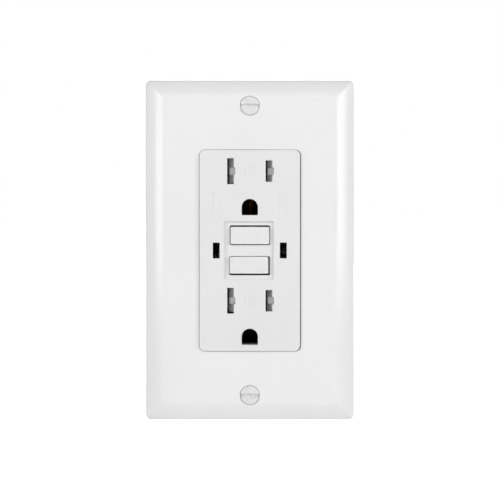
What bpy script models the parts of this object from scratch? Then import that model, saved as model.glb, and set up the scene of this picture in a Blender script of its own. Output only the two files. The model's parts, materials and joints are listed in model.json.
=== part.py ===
"""A decorator GFCI outlet with its one-gang wall plate, built piece by piece.

Frame: +X to the right, +Y into the wall, +Z up. The origin is at the centre of the wall plate's
back, on the wall's surface. Sizes here are millimetres; the mesh builders turn them into metres.
"""

import math

import bmesh
import bpy
from mathutils import Matrix, Vector

MM = 0.001
GAP = 0.3  # between pieces that touch
FAR = 60.0  # how far an open-ended cutter reaches
SIDES = {"right": 1, "left": -1}  # hot is on the right, neutral on the left
ENDS = {"upper": 1, "lower": -1}

# Wall plate: a standard one-gang plate with two 6-32 screws.
PLATE_WIDTH = 70.2
PLATE_HEIGHT = 114.3
PLATE_CORNER = 1.6
PLATE_FRONT = -5.6
PLATE_WALL = 2.2
PLATE_FLOOR = PLATE_FRONT + PLATE_WALL
PLATE_EDGE = [(0.0, 0.0), (0.0, -1.4), (0.4, -2.15), (1.2, -2.92), (3.4, -4.39), (5.1, -5.28), (6.6, -5.6)]
PLATE_INSIDE = [(6.3, PLATE_FLOOR), (4.4, -2.9), (2.4, -1.3), (2.2, 0.0)]
PLATE_SCREW_Z = 48.42
PLATE_SCREW_HEAD = 3.15
PLATE_SCREW_CLEARANCE = 1.95

# Receptacle face and the wide flange behind it.
FACE_WIDTH = 33.4
FACE_HEIGHT = 67.0
FACE_CORNER = 1.8
FACE_FRONT = -6.4
FACE_WALL = 2.0
FACE_INSIDE = FACE_FRONT + FACE_WALL
BODY_WIDTH = 42.4
BODY_HEIGHT = 67.6
FLANGE_FRONT = 0.4
FLANGE_BACK = 5.0
SHELL = 1.8

# Where a plug goes in: blades about 12.7 apart, and the ground pin 12 below them.
BLADE_X = 6.42
BLADE_Z = {"upper": 26.5, "lower": -16.8}
GROUND_DROP = 12.0
SLOT_WIDTH = 2.2
SLOT_HEIGHT = {"right": 7.0, "left": 8.6}
NOTCH = (0.45, 2.4)
GROUND_RADIUS = 2.62

# Buttons, in a shallow well between the receptacles.
WELL_CENTRE_Z = -0.1
WELL_SIZE = (16.6, 19.4)
WELL_FLOOR = -5.6
BUTTON_FRONT = -6.7
BUTTON_SIZE = {"test": (12.95, 5.8), "reset": (12.8, 5.8)}
BUTTON_Z = {"test": 5.0, "reset": -5.0}
BUTTON_FLANGE = (15.0, 7.2)
STEM_RADIUS = 2.0
STEM_END = 1.0
PIN_RADIUS = 1.3
SPRING_WIRE = 0.2
SPRING_RADIUS = 2.7

# Indicator windows.
WINDOW_X = 11.2
WINDOW_SIZE = (2.1, 5.0)

# Plug shutters, which hide the blade slots and slide aside.
SHUTTER_X = (-12.0, 9.4)
SHUTTER_Y = (-4.1, -2.3)
SHUTTER_HALF_HEIGHT = 4.9
SHUTTER_SPRING_X = (9.9, 14.2)

# Strap: sheet steel, box screws 83.3 apart.
STRAP_THICK = 1.2
STRAP_BACK = 5.0
STRAP_HALF = 53.2
STRAP_TAB = 9.5
EAR = 16.5
BOX_SCREW_Z = 41.67
GROUND_TAB_Z = -40.3
GROUND_TAB_Y = 6.0

# Rear case and what it holds.
CASE_FRONT = 5.3
CASE_BACK = 29.4
CASE_WALL = 1.6
CASE_SCREW = (17.2, 29.6)
CASE_SEAT = 27.2
TERMINAL_Z = 21.3
TERMINAL_Y = 17.0
POCKET_DEPTH = (9.9, 24.1)
POCKET_HALF_HEIGHT = 6.9
WIRE_HOLE = 1.4
WIRE_OFFSET = 3.0
TERMINAL_X = (15.8, 16.8)
SEPARATOR_BACK = 13.8
BOARD_FRONT = 25.6
BOARD_THICK = 1.6
MECHANISM_Y = 20.5
COIL_Z = (6.0, 19.5)
TOROID_Z = -21.1
CONTACT_X = 9.5
CONTACT_Z = -5.5

# How far the moving pieces travel.
SHUTTER_TRAVEL = 2.9
LATCH_TRAVEL = 1.9

COLOURS = {  # colour, roughness, metallic
    "plate": ((0.86, 0.86, 0.85), 0.3, 0.0),
    "face": ((0.84, 0.84, 0.83), 0.35, 0.0),
    "button": ((0.87, 0.87, 0.86), 0.3, 0.0),
    "shutter": ((0.62, 0.62, 0.6), 0.45, 0.0),
    "screw_paint": ((0.82, 0.82, 0.81), 0.35, 0.3),
    "zinc_steel": ((0.62, 0.63, 0.64), 0.35, 1.0),
    "spring_steel": ((0.5, 0.5, 0.5), 0.3, 1.0),
    "brass": ((0.75, 0.58, 0.27), 0.3, 1.0),
    "nickel": ((0.7, 0.69, 0.66), 0.3, 1.0),
    "copper": ((0.72, 0.38, 0.22), 0.35, 1.0),
    "green_screw": ((0.08, 0.36, 0.16), 0.35, 0.6),
    "case_black": ((0.05, 0.05, 0.055), 0.5, 0.0),
    "inner_plastic": ((0.3, 0.32, 0.35), 0.5, 0.0),
    "smoked_lens": ((0.03, 0.03, 0.03), 0.15, 0.0),
    "led_lens": ((0.55, 0.75, 0.5), 0.2, 0.0),
    "board_green": ((0.05, 0.25, 0.12), 0.45, 0.0),
    "ferrite": ((0.08, 0.08, 0.09), 0.6, 0.0),
    "varistor_blue": ((0.07, 0.16, 0.45), 0.4, 0.0),
    "epoxy_black": ((0.03, 0.03, 0.03), 0.5, 0.0),
}


# ---- Mesh builders -----------------------------------------------------------------------------


def material_named(name):
    """The one material of this name, made the first time it is asked for."""
    material = bpy.data.materials.get(name)
    if material:
        return material
    colour, roughness, metallic = COLOURS[name]
    material = bpy.data.materials.new(name)
    material.use_nodes = True
    shader = material.node_tree.nodes["Principled BSDF"]
    shader.inputs["Base Color"].default_value = (*colour, 1.0)
    shader.inputs["Roughness"].default_value = roughness
    shader.inputs["Metallic"].default_value = metallic
    return material


def mesh_object(name, shape, origin=(0, 0, 0)):
    """Turns a bmesh in millimetres into an object in metres, with its origin where asked."""
    bmesh.ops.recalc_face_normals(shape, faces=shape.faces)
    bmesh.ops.translate(shape, verts=shape.verts, vec=-Vector(origin))
    bmesh.ops.scale(shape, verts=shape.verts, vec=(MM, MM, MM))
    mesh = bpy.data.meshes.new(name)
    shape.to_mesh(mesh)
    shape.free()
    made = bpy.data.objects.new(name, mesh)
    made.location = Vector(origin) * MM
    bpy.context.scene.collection.objects.link(made)
    return made


def block(x, y, z):
    """A box between two limits on each axis."""
    shape = bmesh.new()
    size = [abs(span[1] - span[0]) for span in (x, y, z)]
    middle = [(span[1] + span[0]) / 2 for span in (x, y, z)]
    place = Matrix.Translation(middle) @ Matrix.Diagonal((*size, 1.0))
    bmesh.ops.create_cube(shape, size=1.0, matrix=place)
    return shape


def centred(x, z, width, height, y):
    """A box given by its centre and size in the face's plane, and its limits in depth."""
    return block((x - width / 2, x + width / 2), y, (z - height / 2, z + height / 2))


def loft(rings):
    """A closed skin through rings of equal count, capped at both ends."""
    shape = bmesh.new()
    loops = [[shape.verts.new(point) for point in ring] for ring in rings]
    count = len(loops[0])
    for first, second in zip(loops, loops[1:]):
        for i in range(count):
            j = (i + 1) % count
            shape.faces.new((first[i], first[j], second[j], second[i]))
    shape.faces.new(loops[0])
    shape.faces.new(loops[-1])
    return shape


def rounded(width, height, radius, y, x=0.0, z=0.0, steps=3):
    """One ring: a rectangle with round corners, at one depth."""
    points = []
    for quarter, (side, end) in enumerate(((1, 1), (-1, 1), (-1, -1), (1, -1))):
        for step in range(steps + 1):
            angle = (quarter + step / steps) * math.pi / 2
            across = side * (width / 2 - radius) + radius * math.cos(angle)
            up = end * (height / 2 - radius) + radius * math.sin(angle)
            points.append((x + across, y, z + up))
    return points


def rounded_block(width, height, radius, y, x=0.0, z=0.0, steps=3):
    """A block with round corners in the face's plane."""
    return loft([rounded(width, height, radius, depth, x, z, steps) for depth in y])


def slab(outline, y):
    """A plate cut to an outline of (x, z) points, between two depths."""
    return loft([[(x, depth, z) for x, z in outline] for depth in y])


def mirrored(outline, side):
    return [(side * x, z) for x, z in outline]


AXES = {
    "x": lambda along, u, v: (along, u, v),
    "y": lambda along, u, v: (u, along, v),
    "z": lambda along, u, v: (u, v, along),
}


def turned(profile, axis="y", centre=(0, 0), steps=12):
    """A round piece: rings of (place along the axis, radius), capped flat at both ends."""
    rings = []
    for along, radius in profile:
        ring = []
        for step in range(steps):
            angle = 2 * math.pi * step / steps
            u = centre[0] + radius * math.cos(angle)
            v = centre[1] + radius * math.sin(angle)
            ring.append(AXES[axis](along, u, v))
        rings.append(ring)
    return loft(rings)


def rod(span, radius, axis="y", centre=(0, 0), steps=12):
    return turned([(span[0], radius), (span[1], radius)], axis, centre, steps)


def tube(span, inner, outer, axis="y", centre=(0, 0), steps=18):
    """A ring with a square section, closed on itself."""
    corners = [(span[0], inner), (span[0], outer), (span[1], outer), (span[1], inner)]
    shape = bmesh.new()
    rings = []
    for step in range(steps):
        angle = 2 * math.pi * step / steps
        ring = []
        for along, radius in corners:
            u = centre[0] + radius * math.cos(angle)
            v = centre[1] + radius * math.sin(angle)
            ring.append(shape.verts.new(AXES[axis](along, u, v)))
        rings.append(ring)
    for i, ring in enumerate(rings):
        following = rings[(i + 1) % steps]
        for j in range(len(corners)):
            k = (j + 1) % len(corners)
            shape.faces.new((ring[j], ring[k], following[k], following[j]))
    return shape


def ribbon(path, thick, z):
    """Sheet metal bent along a path of (x, y) points, between two heights."""
    left, right = [], []
    for i, point in enumerate(path):
        before = Vector(path[max(i - 1, 0)])
        after = Vector(path[min(i + 1, len(path) - 1)])
        here = Vector(point)
        run_in = (here - before).normalized() if i else (after - here).normalized()
        run_out = (after - here).normalized() if i < len(path) - 1 else run_in
        normal = (run_in + run_out).normalized().orthogonal()
        reach = thick / 2 / max(normal.dot(run_in.orthogonal()), 0.5)
        left.append(here + normal * reach)
        right.append(here - normal * reach)
    outline = left + right[::-1]
    return loft([[(x, y, height) for x, y in outline] for height in z])


def gathered(shapes):
    """Several closed shapes that don't touch, in one bmesh."""
    whole = bmesh.new()
    for shape in shapes:
        mesh = bpy.data.meshes.new("part")
        shape.to_mesh(mesh)
        shape.free()
        whole.from_mesh(mesh)
        bpy.data.meshes.remove(mesh)
    return whole


def combine(piece, operation, shapes):
    """Adds or cuts away shapes, with one hidden helper and one Boolean."""
    number = len(piece.modifiers)
    helper = mesh_object(f"{piece.name}_tool_{number}", gathered(shapes))
    helper.hide_render = True
    helper.display_type = "WIRE"
    change = piece.modifiers.new(f"{operation.lower()}_{number}", "BOOLEAN")
    change.operation = operation
    change.object = helper
    change.solver = "EXACT"
    return piece


def add(piece, *shapes):
    return combine(piece, "UNION", shapes)


def cut(piece, *shapes):
    return combine(piece, "DIFFERENCE", shapes)


def make(name, shape, material, origin=(0, 0, 0)):
    """A piece of the outlet: one object with one material, smooth where it is round."""
    piece = mesh_object(name, shape, origin)
    piece.data.materials.append(material_named(material))
    piece.data.shade_smooth()
    piece.data.set_sharp_from_angle(angle=math.radians(35))
    return piece


def coil(name, axis, span, radius, wire, turns, centre=(0, 0)):
    """A round-wire compression spring, as a curve with a bevel."""
    steps = 7
    total = round(turns * steps)
    curve = bpy.data.curves.new(name, "CURVE")
    curve.dimensions = "3D"
    curve.bevel_depth = wire * MM
    curve.bevel_resolution = 0
    curve.use_fill_caps = True
    spline = curve.splines.new("POLY")
    spline.points.add(total)
    for i, point in enumerate(spline.points):
        angle = 2 * math.pi * i / steps
        along = span[0] + (span[1] - span[0]) * i / total
        u = centre[0] + radius * math.cos(angle)
        v = centre[1] + radius * math.sin(angle)
        point.co = (*(Vector(AXES[axis](along, u, v)) * MM), 1.0)
    curve.materials.append(material_named("spring_steel"))
    piece = bpy.data.objects.new(name, curve)
    bpy.context.scene.collection.objects.link(piece)
    return piece


# ---- Wall plate and the face -------------------------------------------------------------------


def wall_plate():
    rings = []
    for inset, depth in PLATE_INSIDE + PLATE_EDGE:
        width = PLATE_WIDTH - 2 * inset
        height = PLATE_HEIGHT - 2 * inset
        rings.append(rounded(width, height, PLATE_CORNER, depth))
    plate = make("wall_plate", loft(rings), "plate")
    backing = (PLATE_FLOOR - GAP, -1.7)
    screw_boss = 3.0
    collar = 1.8
    opening = (FACE_WIDTH + 2 * GAP, FACE_HEIGHT + 2 * GAP)
    add(
        plate,
        rounded_block(opening[0] + 2 * collar, opening[1] + 2 * collar, 3.0, backing),
        rod(backing, screw_boss, centre=(0, PLATE_SCREW_Z)),
        rod(backing, screw_boss, centre=(0, -PLATE_SCREW_Z)),
    )
    hole = PLATE_SCREW_CLEARANCE
    mouth = PLATE_SCREW_HEAD + 0.2
    in_front, behind = PLATE_FRONT - 2.0, 2.0
    sink = [(in_front, mouth), (PLATE_FRONT + GAP, mouth), (-3.6, hole), (behind, hole)]
    cut(
        plate,
        rounded_block(*opening, FACE_CORNER + GAP, (in_front, behind)),
        turned(sink, centre=(0, PLATE_SCREW_Z), steps=20),
        turned(sink, centre=(0, -PLATE_SCREW_Z), steps=20),
    )


def plate_screw(end, z):
    """An oval-head screw: crowned head, countersunk below, slotted across."""
    head = PLATE_SCREW_HEAD
    profile = [
        (-6.1, 0.9),
        (-6.02, 1.9),
        (-5.85, 2.7),
        (-5.6, head),
        (-5.45, head),
        (-3.75, 1.6),
        (6.2, 1.6),
        (6.9, 0.9),
    ]
    screw = make(f"plate_screw_{end}", turned(profile, centre=(0, z), steps=20), "screw_paint")
    slot_width = 1.1
    cut(screw, centred(0, z, 3 * head, slot_width, (-7.0, -5.1)))


def button_box(name, y, clearance=0.0):
    width, height = BUTTON_SIZE[name]
    size = (width + 2 * clearance, height + 2 * clearance)
    return rounded_block(*size, 0.6 + clearance, y, z=BUTTON_Z[name], steps=3)


def ground_outline(z):
    """The D of a ground hole: round above, flat below."""
    steps = 14
    arc = []
    for i in range(steps + 1):
        angle = math.pi * i / steps
        arc.append((GROUND_RADIUS * math.cos(angle), z + GROUND_RADIUS * math.sin(angle)))
    foot = z - GROUND_RADIUS
    return arc + [(-GROUND_RADIUS, foot), (GROUND_RADIUS, foot)]


def face_cover():
    edge = [(0.5, 0.0), (0.15, 0.12), (0.0, 0.45), (0.0, 2.0 - FACE_FRONT)]
    rings = []
    for inset, depth in edge:
        width = FACE_WIDTH - 2 * inset
        height = FACE_HEIGHT - 2 * inset
        rings.append(rounded(width, height, FACE_CORNER - inset, FACE_FRONT + depth))
    cover = make("face_cover", loft(rings), "face")
    add(cover, rounded_block(BODY_WIDTH, BODY_HEIGHT, 1.5, (FLANGE_FRONT, FLANGE_BACK)))
    inside = (FACE_WIDTH - 2 * SHELL, FACE_HEIGHT - 2 * SHELL)
    cut(cover, rounded_block(*inside, 1.0, (FACE_INSIDE, FLANGE_BACK + 1)))
    strap_channel = 30.0
    cut(cover, centred(0, 0, strap_channel, FAR * 2, (3.5, FLANGE_BACK + 1)))
    in_front = FACE_FRONT - 1.6
    cut(cover, rounded_block(*WELL_SIZE, 0.8, (in_front, WELL_FLOOR), z=WELL_CENTRE_Z, steps=3))
    through = (in_front, FACE_INSIDE + 1)
    drill = 1.4
    holes = [button_box(name, through, GAP) for name in BUTTON_SIZE]
    for side in SIDES.values():
        holes.append(centred(side * WINDOW_X, 0, *WINDOW_SIZE, through))
        for end in ENDS.values():
            place = (side * CASE_SCREW[0], end * CASE_SCREW[1])
            holes.append(rod((FLANGE_FRONT + 0.5, FLANGE_BACK + 1), drill, centre=place, steps=12))
    for end in ENDS:
        holes.append(slab(ground_outline(BLADE_Z[end] - GROUND_DROP), through))
        for name, side in SIDES.items():
            holes.append(blade_slot(side, BLADE_Z[end], SLOT_HEIGHT[name], through))
    cut(cover, *holes)


def blade_slot(side, z, height, y):
    """A blade slot with its shallow notch on the right."""
    left = side * BLADE_X - SLOT_WIDTH / 2
    right = left + SLOT_WIDTH
    notch_right = right + NOTCH[0]
    half = height / 2
    notch = NOTCH[1] / 2
    outline = [
        (left, z - half),
        (right, z - half),
        (right, z - notch),
        (notch_right, z - notch),
        (notch_right, z + notch),
        (right, z + notch),
        (right, z + half),
        (left, z + half),
    ]
    return slab(outline, y)


# ---- Buttons, windows and shutters -------------------------------------------------------------


def button(name):
    """A cap with softened edges, a flange that keeps it in, and a stem for its spring."""
    z = BUTTON_Z[name]
    width, height = BUTTON_SIZE[name]
    rings = []
    for inset, depth in ((0.45, 0.0), (0.12, 0.12), (0.0, 0.4), (0.0, 3.0)):
        size = (width - 2 * inset, height - 2 * inset)
        rings.append(rounded(*size, 0.6, BUTTON_FRONT + depth, z=z, steps=3))
    cap = make(f"{name}_button", loft(rings), "button", (0, BUTTON_FRONT, z))
    flange_front = FACE_INSIDE + GAP
    add(cap, centred(0, z, *BUTTON_FLANGE, (flange_front, flange_front + 1.1)))
    add(cap, rod((flange_front + 0.5, STEM_END), STEM_RADIUS, centre=(0, z), steps=12))
    if name == "test":
        add(cap, rod((STEM_END - 0.5, 6.0), 0.9, centre=(0, z), steps=12))
    else:
        cut(cap, rod((-1.0, STEM_END + 1), PIN_RADIUS + GAP, centre=(0, z), steps=12))


def reset_pin():
    """A steel pin: thick in the button, thin through the latch, with a conical head behind it."""
    neck, head = 0.9, 1.8
    profile = [
        (-0.7, PIN_RADIUS),
        (17.0, PIN_RADIUS),
        (17.3, neck),
        (20.8, neck),
        (21.9, head),
        (22.4, head),
        (23.0, neck),
    ]
    z = BUTTON_Z["reset"]
    pin = turned(profile, centre=(0, z), steps=12)
    make("reset_pin", pin, "zinc_steel", (0, 0, z))


def light_pipe(name, side):
    x = side * WINDOW_X
    width, height = WINDOW_SIZE
    head = (width - 2 * GAP, height - 2 * GAP)
    pipe = make(f"light_pipe_{name}", centred(x, 0, *head, (-5.3, -3.8)), "smoked_lens")
    add(pipe, centred(x, 0, width + 0.8, height + 0.8, (FACE_INSIDE + GAP, -3.0)))
    add(pipe, centred(x, 0, 1.5, 1.8, (-3.5, 21.5)))


def led(name, side):
    profile = [(21.8, 0.5), (22.0, 1.0), (22.6, 1.2), (24.9, 1.2), (24.9, 1.45), (25.3, 1.45)]
    body = turned(profile, centre=(side * WINDOW_X, 0), steps=12)
    make(f"led_{name}", body, "led_lens")


def shutter(end):
    """A plate that hides both slots, with an opening beside each and a ramp into it."""
    z = BLADE_Z[end]
    heights = (z - SHUTTER_HALF_HEIGHT, z + SHUTTER_HALF_HEIGHT)
    plate = block(SHUTTER_X, SHUTTER_Y, heights)
    plate = make(f"shutter_{end}", plate, "shutter", (0, SHUTTER_Y[0], z))
    half = SLOT_WIDTH / 2 + NOTCH[0]
    reach = SLOT_HEIGHT["left"] / 2 + 0.2
    ramp = 1.1
    toe = 0.4
    front, back = SHUTTER_Y[0] - 0.5, SHUTTER_Y[1] + 0.5
    for side in SIDES.values():
        x = side * BLADE_X + NOTCH[0] / 2 - SHUTTER_TRAVEL
        wedge = [
            (x - half, front),
            (x + half + ramp, front),
            (x + half + ramp, SHUTTER_Y[0]),
            (x + half, SHUTTER_Y[1] - toe),
            (x + half, back),
            (x - half, back),
        ]
        cut(plate, loft([[(px, py, z + up) for px, py in wedge] for up in (-reach, reach)]))


def shutter_retainer(end):
    """The plate behind a shutter, open where the blades and the spring's end need it."""
    z = BLADE_Z[end]
    depth = (SHUTTER_Y[1] + GAP, -0.8)
    shape = centred(0, z, 28.0, 2 * SHUTTER_HALF_HEIGHT, depth)
    plate = make(f"shutter_retainer_{end}", shape, "inner_plastic")
    slot = (3.0, 9.2)
    cut(plate, *[centred(side * BLADE_X, z, *slot, (-3.0, 0.0)) for side in SIDES.values()])


# ---- Strap and ground --------------------------------------------------------------------------


def mounting_strap():
    """One bent sheet: end tabs on the wall, legs into the box, and a web behind the cover."""
    tab = -STRAP_THICK / 2
    web = STRAP_BACK - STRAP_THICK / 2
    leg = 34.9
    path = [
        (STRAP_HALF, tab),
        (leg, tab),
        (leg, web),
        (-leg, web),
        (-leg, tab),
        (-STRAP_HALF, tab),
    ]
    sheet = ribbon(path, STRAP_THICK, (-STRAP_TAB, STRAP_TAB))
    turn = Matrix(((0, 0, 1), (0, 1, 0), (1, 0, 0)))
    bmesh.ops.transform(sheet, matrix=turn.to_4x4(), verts=sheet.verts)
    strap = make("mounting_strap", sheet, "zinc_steel")
    web_depth = (STRAP_BACK - STRAP_THICK, STRAP_BACK)
    tab_depth = (-STRAP_THICK, 0.0)
    add(strap, centred(0, 0, 29.4, 66.8, web_depth))
    ears = [
        rounded_block(2 * EAR, 8.4, 2.5, tab_depth, z=end * PLATE_SCREW_Z)
        for end in ENDS.values()
    ]
    add(strap, *ears)
    tab_x = (-STRAP_TAB - STRAP_THICK, -STRAP_TAB + 0.3)
    tab_z = (GROUND_TAB_Z - 3.6, GROUND_TAB_Z + 3.9)
    add(strap, block(tab_x, (-STRAP_THICK, 11.0), tab_z))
    collars = [rod((-0.6, 1.4), 2.9, centre=(0, end * PLATE_SCREW_Z)) for end in ENDS.values()]
    add(strap, *collars)
    through = (-3.0, 3.0)
    web_through = (2.0, 7.0)
    holes = [rod((-20, 0), 2.0, "x", (GROUND_TAB_Y, GROUND_TAB_Z), 12)]
    holes.append(rounded_block(25.0, 19.4, 1.0, web_through, z=-0.5, steps=2))
    for name, end in ENDS.items():
        holes.append(rod(through, PLATE_SCREW_CLEARANCE, centre=(0, end * PLATE_SCREW_Z)))
        slot = rounded_block(7.2, 4.2, 2.0, through, z=end * BOX_SCREW_Z)
        holes.append(slot)
        for side in SIDES.values():
            holes.append(rod(through, 1.6, centre=(side * 13.2, end * PLATE_SCREW_Z), steps=12))
            holes.append(centred(side * 7.0, BLADE_Z[name], 6.0, 10.2, web_through))
        ground = BLADE_Z[name] - GROUND_DROP
        holes.append(centred(0, ground, 6.0, 6.0, web_through))
    cut(strap, *holes)


def ground_clip(end):
    """Two leaves that grip a round ground pin, on a small open plate."""
    z = BLADE_Z[end] - GROUND_DROP
    base = (CASE_FRONT, CASE_FRONT + 0.7)
    clip = make(f"ground_clip_{end}", block((-4.4, 4.4), base, (z - 2.9, z + 3.4)), "brass")
    cut(clip, block((-2.6, 2.6), (4.0, 7.0), (z - 4.0, z + 2.5)))
    leaves = []
    for side in SIDES.values():
        path = [(3.9, 5.6), (3.0, 7.2), (2.6, 10.2), (3.2, 12.8)]
        leaf = [(side * x, y) for x, y in path]
        leaves.append(ribbon(leaf, 0.6, (z - 1.9, z + 1.9)))
    add(clip, *leaves)


def box_screw(end, z):
    profile = [
        (-3.0, 2.2),
        (-2.85, 2.9),
        (-2.4, 3.4),
        (-1.5, 3.4),
        (-1.5, 1.6),
        (21.2, 1.6),
        (22.0, 0.8),
    ]
    screw = make(f"box_screw_{end}", turned(profile, centre=(0, z), steps=12), "zinc_steel")
    cut(screw, centred(0, z, 9.0, 1.0, (-4.0, -2.1)))


def side_screw(name, side, place, head_x, tip_x, material):
    """A slotted screw whose axis runs sideways, given by its head's inner face and its tip."""
    crown = head_x + 2.1
    profile = [
        (tip_x, 1.3),
        (tip_x + 0.5, 1.65),
        (head_x, 1.65),
        (head_x, 3.6),
        (crown - 0.5, 3.6),
        (crown, 2.9),
    ]
    profile = [(side * along, radius) for along, radius in profile]
    screw = make(name, turned(profile, "x", place, 16), material, (side * head_x, *place))
    outward = (side * (crown - 1.1), side * (crown + 1.0))
    cut(screw, block(outward, (place[0] - 5, place[0] + 5), (place[1] - 0.6, place[1] + 0.6)))


# ---- Housings ----------------------------------------------------------------------------------


def corner_places():
    return [(x * CASE_SCREW[0], z * CASE_SCREW[1]) for x in (1, -1) for z in (1, -1)]


def terminal_places():
    return [(side, end * TERMINAL_Z) for side in SIDES.values() for end in ENDS.values()]


def side_span(side, near, far):
    return (side * near, side * far)


def rear_case():
    """A deep tub with screw bosses in its corners and a pocket for each terminal."""
    case = make(
        "rear_case",
        rounded_block(BODY_WIDTH, BODY_HEIGHT, 2.0, (CASE_FRONT, CASE_BACK)),
        "case_black",
    )
    inside = (BODY_WIDTH - 2 * CASE_WALL, BODY_HEIGHT - 2 * CASE_WALL)
    floor = CASE_BACK - CASE_WALL
    cut(case, rounded_block(*inside, 1.0, (CASE_FRONT - 1, floor)))
    boss = 3.2
    bosses = [rod((CASE_FRONT, CASE_BACK - 0.5), boss, centre=at) for at in corner_places()]
    add(case, *bosses)
    pockets = []
    for side, z in terminal_places():
        heights = (z - POCKET_HALF_HEIGHT, z + POCKET_HALF_HEIGHT)
        pockets.append(block(side_span(side, 14.0, 20.6), POCKET_DEPTH, heights))
    add(case, *pockets)
    wall = 1.5
    depth = (POCKET_DEPTH[0] + wall, POCKET_DEPTH[1] - wall)
    room = POCKET_HALF_HEIGHT - wall
    voids = []
    drills = []
    wire_holes = []
    for side, z in terminal_places():
        voids.append(block(side_span(side, 15.5, 24.0), depth, (z - room, z + room)))
        drills.append(rod(side_span(side, 13.0, 16.0), 2.1, "x", (TERMINAL_Y, z), 12))
        slit = (8.0, 12.0) if z > 0 else (22.0, 25.0)
        drills.append(block(side_span(side, 15.5, 17.1), slit, (z - 4.5, z + 4.5)))
        for offset in (-WIRE_OFFSET, WIRE_OFFSET):
            place = (side * 18.4, z + offset)
            wire_holes.append(rod((22.0, FAR), WIRE_HOLE, centre=place, steps=12))
    cut(case, *voids)
    cut(case, *drills)
    cut(case, *wire_holes)
    shank, head = 1.45, 2.8
    cut(case, *[rod((0.0, FAR), shank, centre=at, steps=12) for at in corner_places()])
    cut(case, *[rod((CASE_SEAT, FAR), head, centre=at, steps=12) for at in corner_places()])


def case_screw(name, place):
    seat = CASE_SEAT + GAP
    profile = [(1.2, 0.7), (1.8, 1.15), (seat, 1.15), (seat, 2.5), (28.7, 2.5), (29.1, 1.8)]
    screw = make(f"case_screw_{name}", turned(profile, centre=place, steps=12), "zinc_steel")
    x, z = place
    cut(screw, centred(x, z, 8.0, 0.7, (28.4, 30.0)))
    cut(screw, centred(x, z, 0.7, 8.0, (28.4, 30.0)))


def separator():
    """The tray that holds the contacts apart, open at its back."""
    depth = (CASE_FRONT, SEPARATOR_BACK)
    tray = make("separator", centred(0, 0, 27.4, 63.2, depth), "inner_plastic")
    add(tray, centred(0, 0, 38.4, 51.0, (CASE_FRONT, 9.7)))
    inside = (6.9, SEPARATOR_BACK + 1)
    channels = []
    for side in SIDES.values():
        channels.append(block(side_span(side, 8.0, 12.4), inside, (-30.4, 30.4)))
        channels.append(block(side_span(side, 12.2, 17.4), inside, (16.6, 25.2)))
    cut(tray, *channels[0::2])
    cut(tray, *channels[1::2])
    bays = [block((-8.2, 8.2), inside, (-10.5, 9.0))]
    bay = 4.6
    for z in BLADE_Z.values():
        for side in SIDES.values():
            bays.append(block(side_span(side, 3.5, 8.4), inside, (z - bay, z + bay)))
    cut(tray, *bays)
    through = (4.0, SEPARATOR_BACK + 1)
    windows = []
    for z in BLADE_Z.values():
        windows.append(block((-4.8, 4.8), through, (z - GROUND_DROP - 3.5, z - GROUND_DROP + 3.8)))
    cut(tray, *windows)
    entries = []
    for side in SIDES.values():
        entries.append(centred(side * WINDOW_X, 0, 2.1, 2.6, (4.0, 8.0)))
        for z in BLADE_Z.values():
            entries.append(centred(side * BLADE_X, z, 3.4, 9.0, (4.0, 8.0)))
    entries.append(rod((4.0, 8.0), 1.4, centre=(0, BUTTON_Z["test"]), steps=12))
    entries.append(rod((4.0, 8.0), 1.7, centre=(0, BUTTON_Z["reset"]), steps=12))
    cut(tray, *entries)


# ---- Contacts and terminals --------------------------------------------------------------------


def contact_strip(name, side, material):
    """A bus on edge with a blade clip at each receptacle, the fixed contact and a load terminal."""
    clip = 3.4
    heights = (BLADE_Z["lower"] - clip - 0.2, BLADE_Z["upper"] + clip)
    bus = block(side_span(side, 8.7, 9.5), (7.4, 11.4), heights)
    strip = make(name, bus, material)
    for z in BLADE_Z.values():
        span = (z - clip, z + clip)
        inner = [(9.1, 10.9), (9.1, 12.9), (4.5, 12.9), (4.4, 11.6), (5.4, 9.4), (4.6, 7.4)]
        outer = [(9.1, 8.0), (7.9, 8.0), (7.3, 9.4), (8.0, 11.4)]
        add(strip, ribbon([(side * x, y) for x, y in inner], 0.7, span))
        add(strip, ribbon([(side * x, y) for x, y in outer], 0.6, span))
    add(strip, block(side_span(side, 8.5, 10.6), (10.6, 13.1), (CONTACT_Z - 1.2, CONTACT_Z + 1.2)))
    terminal = (TERMINAL_Z - 4.0, TERMINAL_Z + 3.4)
    add(strip, block(side_span(side, 9.1, 16.8), (7.4, 8.4), terminal))
    add(strip, block(side_span(side, *TERMINAL_X), (7.4, 21.8), terminal))
    hole = rod(side_span(side, 15.0, 18.0), 2.0, "x", (TERMINAL_Y, TERMINAL_Z), 12)
    cut(strip, hole)


def line_terminal(name, side, material):
    """A terminal plate whose foot runs under the transformers and rises through them."""
    z = -TERMINAL_Z
    plate = block(side_span(side, *TERMINAL_X), (12.2, 25.2), (z - 4.0, z + 4.0))
    terminal = make(name, plate, material)
    conductor = (TOROID_Z - 1.2, TOROID_Z + 1.2)
    add(terminal, block(side_span(side, 1.2, 16.8), (24.2, 25.2), conductor))
    add(terminal, block(side_span(side, 1.2, 2.6), (15.3, 25.2), conductor))
    cut(terminal, rod(side_span(side, 15.0, 18.0), 2.0, "x", (TERMINAL_Y, z), 12))


def clamp_plate(name, side, z):
    """The plate under a terminal screw's head that presses the wire."""
    x = TERMINAL_X[1] + GAP
    plate = block(side_span(side, x, x + 1.0), (12.2, 21.8), (z - 4.6, z + 4.6))
    origin = (side * x, TERMINAL_Y, z)
    clamp = make(f"{name}_clamp", plate, "zinc_steel", origin)
    cut(clamp, rod(side_span(side, 16.0, 19.0), 2.0, "x", (TERMINAL_Y, z), 12))


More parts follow.
